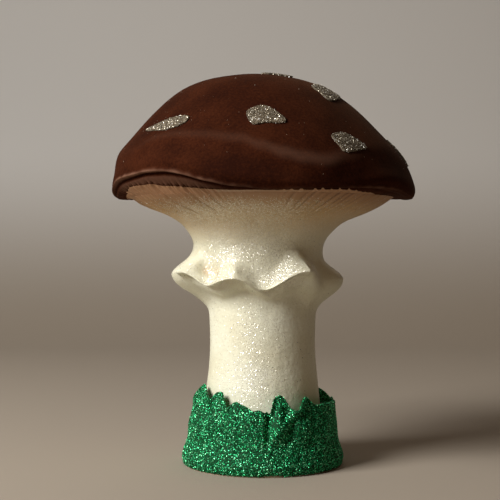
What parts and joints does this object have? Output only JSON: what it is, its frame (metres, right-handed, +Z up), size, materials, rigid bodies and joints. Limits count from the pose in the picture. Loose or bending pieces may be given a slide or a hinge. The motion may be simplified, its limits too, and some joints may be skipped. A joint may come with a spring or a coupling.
{
  "type": "mushroom ornament",
  "caption": "Hollow mushroom ornament with a lift-off domed cap on a card neck ring, a skirted stem and a foot ringed with glittered grass.",
  "frame": {"origin": "centre of the underside of the card disc under the foot", "axes": "+Z up along the stem, the pictured front faces -Y, +X to the right in the picture"},
  "size_m": [0.1504, 0.1501, 0.1939],
  "materials": {
    "card": "plain grey-brown card",
    "painted_pulp": "cream paint with fine mica over pressed paper pulp",
    "green_glitter": "green glass glitter over moulded paper pulp",
    "velvet_flock": "dark brown velvet flock over pressed paper pulp",
    "champagne_glitter": "champagne glass glitter over a thin paper pulp pad"
  },
  "bodies": {
    "base": {"bottom_disc": "card", "neck_ring": "card", "stem_shell": "painted_pulp", "grass_collar": "green_glitter"},
    "cap": {"cap_shell": "velvet_flock", "spot_left": "champagne_glitter", "spot_centre": "champagne_glitter", "spot_upper_right": "champagne_glitter", "spot_lower_right": "champagne_glitter", "spot_right_side": "champagne_glitter", "spot_crest": "champagne_glitter", "spot_rear_right": "champagne_glitter", "spot_rear_middle": "champagne_glitter", "spot_rear_low": "champagne_glitter", "spot_rear_left": "champagne_glitter", "spot_upper_left": "champagne_glitter"}
  },
  "joints": [
    {"name": "cap_lift", "type": "slide", "parent": "base", "child": "cap", "axis": [0, 0, 1], "range_m": [0, 0.045]}
  ]
}
